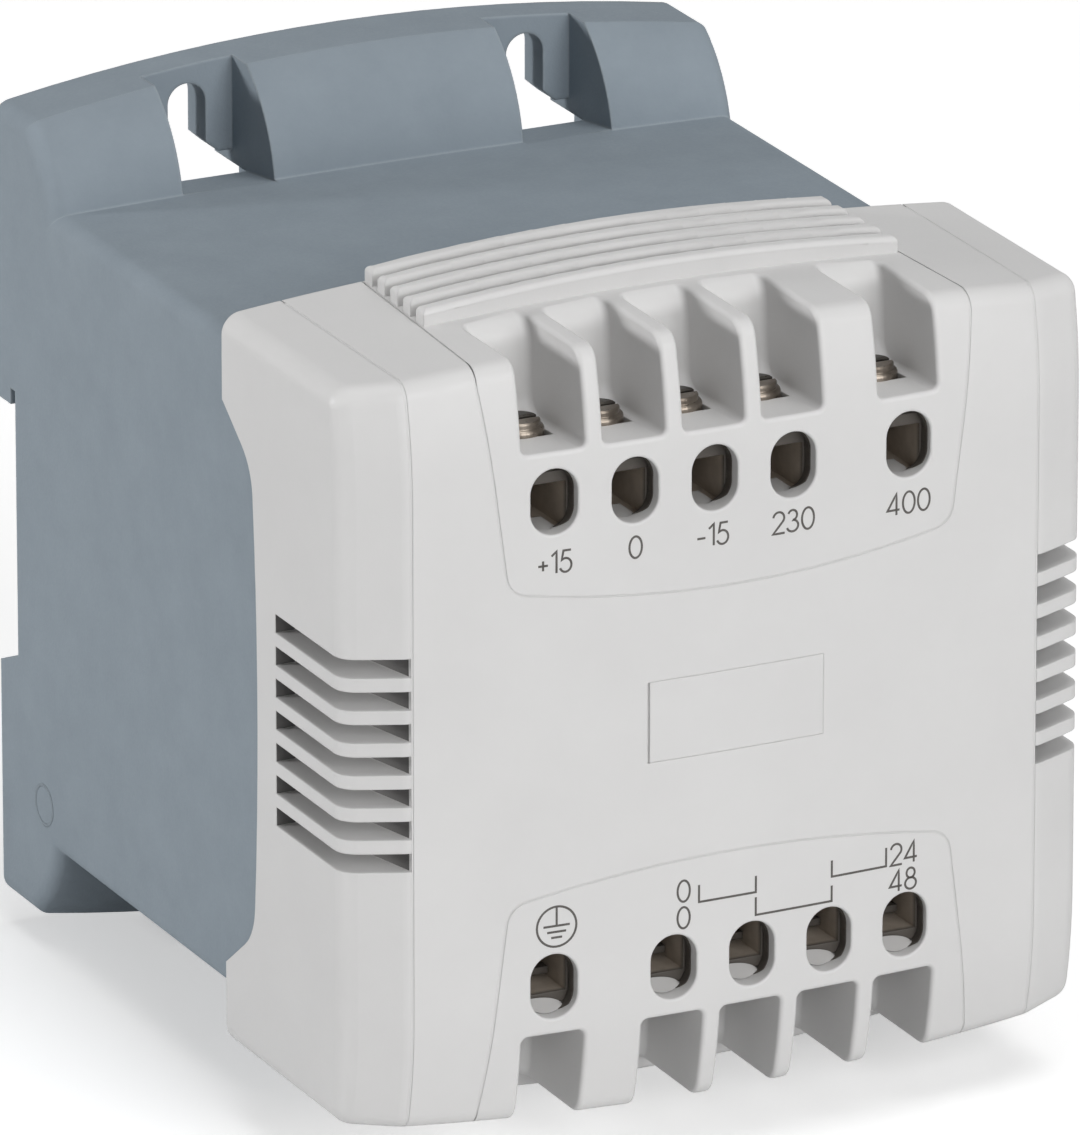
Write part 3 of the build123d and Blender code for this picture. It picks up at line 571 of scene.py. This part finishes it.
for row, turned in blockRows:
    sheets = [ribSheet(ribFacing["front"], turned, 1), ribSheet(ribFacing["rear"], turned, -1)]
    meshPiece(row + "RibFacing", sheets, finishes["cover_plastic"])
print("rib facings set")


# Wire entries: a metal mouth lines the rear of each hole, and a plastic lip stands in the lower ones; both
# are darker than their metal and plastic, as painted shade inside the holes

entryHole = dict(z=32.4, half=1.15, radius=3.12)
shadedEntryMetal = dict(thick=0.10, rear=-112.95, length=1.35, start=-74, end=205, taper=36, least=0.02, steps=56)
entryPlastic = dict(
    front=-113.4, rear=-113.0, left=-3.1, right=3.0, foot=-3.9, rise=1.8, edge=-1.9, reach=4.2,
    columns=34, rows=6,
)
# painted shade: a darker copy of the cover plastic for the lips inside the lower holes
shadedLipLook = dict(coverLook, dark=(0.37, 0.362, 0.355), light=(0.41, 0.402, 0.395), sheenAndRub=0)


# Part of a racetrack, two half rounds a little apart, carried forward less and less towards its low end
def entryMouth(x, z):
    e = shadedEntryMetal
    turn = np.linspace(e["start"], e["end"], e["steps"])
    a = np.radians(turn)
    rise = entryHole["half"] * np.where(np.sin(a) >= 0, 1, -1) + entryHole["radius"] * np.sin(a)
    line = np.column_stack((x + entryHole["radius"] * np.cos(a), z + rise))
    share = np.clip((turn - e["start"]) / e["taper"], e["least"], 1)

    def onCell(p, lift):  # flat points put on the terminal cell's front, raised by their share of the length
        return np.column_stack((p[:, 0], e["rear"] - lift * share, p[:, 1]))

    return strokeSolid(line, e["thick"], 0, e["length"], onCell)


def shadedEntryLip(x, z):  # a sheet that slopes back from the hole's round floor to an upper edge of a quarter oval
    e = entryPlastic
    u = np.linspace(e["left"], e["right"], e["columns"])
    v = np.linspace(0, 1, e["rows"])[:, None]
    low = -entryHole["half"] - np.sqrt(entryHole["radius"] ** 2 - u**2)
    run = np.clip((u - e["edge"]) / e["reach"], 0, 1)
    high = np.maximum(e["foot"] + e["rise"] * np.sqrt(1 - run**2), low)
    depth = e["front"] + (e["rear"] - e["front"]) * v
    points = np.stack((x + u + 0 * v, depth + 0 * u, z + low + (high - low) * v), 2).reshape(-1, 3)
    return points, gridQuads(e["rows"], e["columns"])


shadedMouthMetal = workedMetal("shadedEntryMetal", shadedMouthLook)
for row, turned in blockRows:
    mouths = [entryMouth(turned * x, turned * entryHole["z"]) for x in stationX]
    meshPiece(row + "EntryMouthShade", mouths, shadedMouthMetal)
    # painted shade: the pressure plates take the dark mouth metal too
    nodes[row + "_pressure_plates"].data.materials[0] = shadedMouthMetal
lips = [shadedEntryLip(-x, -entryHole["z"]) for x in stationX]
meshPiece("lowerShadedEntryLips", lips, mouldedPlastic("shadedEntryLip", shadedLipLook))
print("wire entries set")


# Terminal screws: a turned body with a stepped head, and two half rounds that leave the driver slot

screwShape = dict(
    y=-104.9,
    profile=[  # radius and height
        (0.0, 33.5), (1.7, 33.5), (2.0, 33.8), (2.0, 35.6), (3.25, 35.65), (3.3, 35.8), (3.3, 39.05),
        (3.2, 39.32), (3.0, 39.48), (2.85, 39.5), (0.0, 39.5),
    ],
    capRadius=2.8, capFoot=39.45, capTop=40.35, capEdge=0.2, slot=1.0, steps=40, capSteps=20,
)


def turnedBody(x, turned):  # the profile carried round the screw's axis
    radius, height = np.array(screwShape["profile"]).T
    a = np.linspace(0, 2 * math.pi, screwShape["steps"], endpoint=False)[:, None]
    rings = np.stack((x + radius * np.cos(a), screwShape["y"] + radius * np.sin(a), height + 0 * a), 2)
    quads = gridQuads(screwShape["steps"], len(radius), rowLoop=True)
    return outward(rings.reshape(-1, 3) * (turned, 1, turned), quads)


def halfCap(x, side, turned):  # half round carried up to a bevelled top, both ends closed to the middle
    s = screwShape
    steps = s["capSteps"]
    rows = []
    for z, inset in ((s["capFoot"], 0), (s["capTop"] - s["capEdge"], 0), (s["capTop"], s["capEdge"])):
        radius = s["capRadius"] - inset
        start = math.asin((s["slot"] / 2 + inset) / radius)
        a = np.linspace(start, math.pi - start, steps)
        rows.append(np.column_stack((radius * np.cos(a), side * radius * np.sin(a), np.full(steps, z))))
    foot, top = (np.tile(row.mean(0), (steps, 1)) for row in (rows[0], rows[-1]))
    points = np.vstack([foot] + rows + [top]) + (x, s["y"], 0)
    return outward(points * (turned, 1, turned), gridQuads(len(rows) + 2, steps, columnLoop=True))


shadedScrewTop = workedMetal("paintedShadeScrewTop", shadedScrewTopLook)
for row, turned in blockRows:
    bright = [turnedBody(x, turned) for x in stationX]
    bright += [halfCap(x, -1, turned) for x in stationX]
    shadedHalves = [halfCap(x, 1, turned) for x in stationX]  # painted shade: the rear half of each head is darker
    screws = meshPiece(row + "ScrewHeads", bright, finishes["screw_steel"], shadedHalves, shadedScrewTop)
    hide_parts(row + "_screws")
print("screws set")


# Painted shade in the vents: one dark strip on each slot's slanted inner wall and one on its rear end

ventShadeLook = dict(
    span=(-0.1134, -0.0914), tones=((0.0, 0.10), (0.32, 0.19), (0.70, 0.24), (0.92, 0.14)),
    warmth=(1, 0.98, 0.96), grainScale=5200, roughLow=0.7, roughHigh=0.9, specular=0.2, bump=0.6,
    depth=0.00008, edge=0.00005,
)
vents = dict(
    count=7, pitch=4.32, height=2.46, lift=0.04,
    wall=[(44.15, -113.35), (46.7, -102.95), (47.5, -99.6)],
    end=[(49.6, -91.54), (50.9, -91.54), (52.2, -91.54)],
)


def ventShadeMaterial():  # painted shade: grey that darkens towards the ends of the slots
    mat, tree, shader = newMaterial("ventShadeSheets")
    ramp = addNode(tree, "ShaderNodeValToRGB")
    stops = ramp.color_ramp.elements
    while len(stops) < len(ventShadeLook["tones"]):
        stops.new(0.5)
    for stop, (place, tone) in zip(stops, ventShadeLook["tones"]):
        stop.position = place
        stop.color = (*(tone * share for share in ventShadeLook["warmth"]), 1)
    tree.links.new(alongY(tree, *ventShadeLook["span"]), ramp.inputs["Fac"])
    tree.links.new(ramp.outputs["Color"], shader.inputs["Base Color"])
    grainFinish(tree, shader, ventShadeLook, softEdge(tree, ventShadeLook["edge"]))
    return mat


def ventShadeStrip(line, z, side):  # the plan line carried up by the slot's height, on one side or mirrored
    plan = (path(*line) + (vents["lift"], 0)) * (side, 1)
    low = np.column_stack((plan, np.full(len(plan), z - vents["height"] / 2)))
    points = np.vstack((low, low + (0, 0, vents["height"])))
    return points, gridQuads(2, len(plan))[:, ::side]


def ventShadeSheets():  # slots at an even pitch about the middle, on both sides
    middle = (vents["count"] - 1) / 2
    strips = []
    for i in range(vents["count"]):
        for side in (-1, 1):
            for line in (vents["wall"], vents["end"]):
                strips.append(ventShadeStrip(line, vents["pitch"] * (i - middle), side))
    return strips


meshPiece("ventShadeSheets", ventShadeSheets(), ventShadeMaterial())
# the painted shade strips in the vents are set
print("gauze set")


# Floor, light and camera

stageLook = dict(size=8.0, drop=0.0002, roughness=0.9, seen=0.92, glow=0.42, bounce=0.88, world=0.10)
lampAim = (0, -0.05, 0)
lamps = [
    dict(name="frontSoftbox", at=(0.20, -2.60, 0.90), size=2.0, power=46),
    dict(name="topSoftbox", at=(0.20, -0.50, 2.50), size=2.0, power=27),
    dict(name="leftSpot", at=(-1.95, 0.90, 0.42), size=0.30, power=23),
]
viewpoint = dict(
    azimuth=-26.05, elevation=19.67, distance=1.989, target=(0.0039, -0.0523, -0.0010), lens=486.4,
    sensor=36, clipEnd=50,
)


def layFloor():  # a square just under the part
    half = stageLook["size"] / 2
    z = cadLow.z - stageLook["drop"]
    mesh = bpy.data.meshes.new("paleFloor")
    corners = [(-half, -half, z), (half, -half, z), (half, half, z), (-half, half, z)]
    mesh.from_pydata(corners, [], [(0, 1, 2, 3)])
    mesh.materials.append(paleFloor())
    floor = bpy.data.objects.new("paleFloor", mesh)
    bpy.context.scene.collection.objects.link(floor)


def paleFloor():  # lit white to the camera, a plain pale floor in the light that it throws back
    mat, tree, shader = newMaterial("paleFloor")
    cameraRay = addNode(tree, "ShaderNodeLightPath").outputs["Is Camera Ray"]
    colour = tint(tree, cameraRay, [stageLook["bounce"]] * 3, [stageLook["seen"]] * 3)
    tree.links.new(colour, shader.inputs["Base Color"])
    shader.inputs["Roughness"].default_value = stageLook["roughness"]
    shader.inputs["Specular IOR Level"].default_value = 0.0
    shader.inputs["Emission Color"].default_value = (1, 1, 1, 1)
    glow = spread(tree, cameraRay, 0, stageLook["glow"], 0, 1)
    tree.links.new(glow, shader.inputs["Emission Strength"])
    return mat


def hangLamps():  # soft discs that all point at the part's front half
    for lamp in lamps:
        data = bpy.data.lights.new(lamp["name"], "AREA")
        data.shape = "DISK"
        data.size = lamp["size"]
        data.energy = lamp["power"]
        obj = bpy.data.objects.new(lamp["name"], data)
        obj.location = lamp["at"]
        aim = Vector(lampAim) - obj.location
        obj.rotation_euler = aim.to_track_quat("-Z", "Y").to_euler()
        bpy.context.scene.collection.objects.link(obj)


def lightWorld():  # white to the camera and in reflections, dim in what it throws on the part
    world = bpy.data.worlds.new("studio")
    world.use_nodes = True
    tree = world.node_tree
    back = tree.nodes["Background"]
    back.inputs["Color"].default_value = (1, 1, 1, 1)
    rays = addNode(tree, "ShaderNodeLightPath")
    seen = addNode(tree, "ShaderNodeMath", operation="MAXIMUM")
    tree.links.new(rays.outputs["Is Camera Ray"], seen.inputs[0])
    tree.links.new(rays.outputs["Is Glossy Ray"], seen.inputs[1])
    level = spread(tree, seen.outputs["Value"], stageLook["world"], 1, 0, 1)
    tree.links.new(level, back.inputs["Strength"])
    bpy.context.scene.world = world
    bpy.context.scene.view_settings.view_transform = "Standard"


def placeCamera():  # on the line of sight through the target, at the photograph's angle
    a = math.radians(viewpoint["azimuth"])
    e = math.radians(viewpoint["elevation"])
    back = Vector((math.sin(a) * math.cos(e), -math.cos(a) * math.cos(e), math.sin(e)))
    data = bpy.data.cameras.new("photoCamera")
    data.sensor_width = viewpoint["sensor"]
    data.lens = viewpoint["lens"]
    data.clip_end = viewpoint["clipEnd"]
    camera = bpy.data.objects.new("photoCamera", data)
    camera.location = Vector(viewpoint["target"]) + back * viewpoint["distance"]
    camera.rotation_euler = (-back).to_track_quat("-Z", "Y").to_euler()
    bpy.context.scene.collection.objects.link(camera)
    bpy.context.scene.camera = camera


layFloor()
hangLamps()
lightWorld()
placeCamera()
print("stage set")
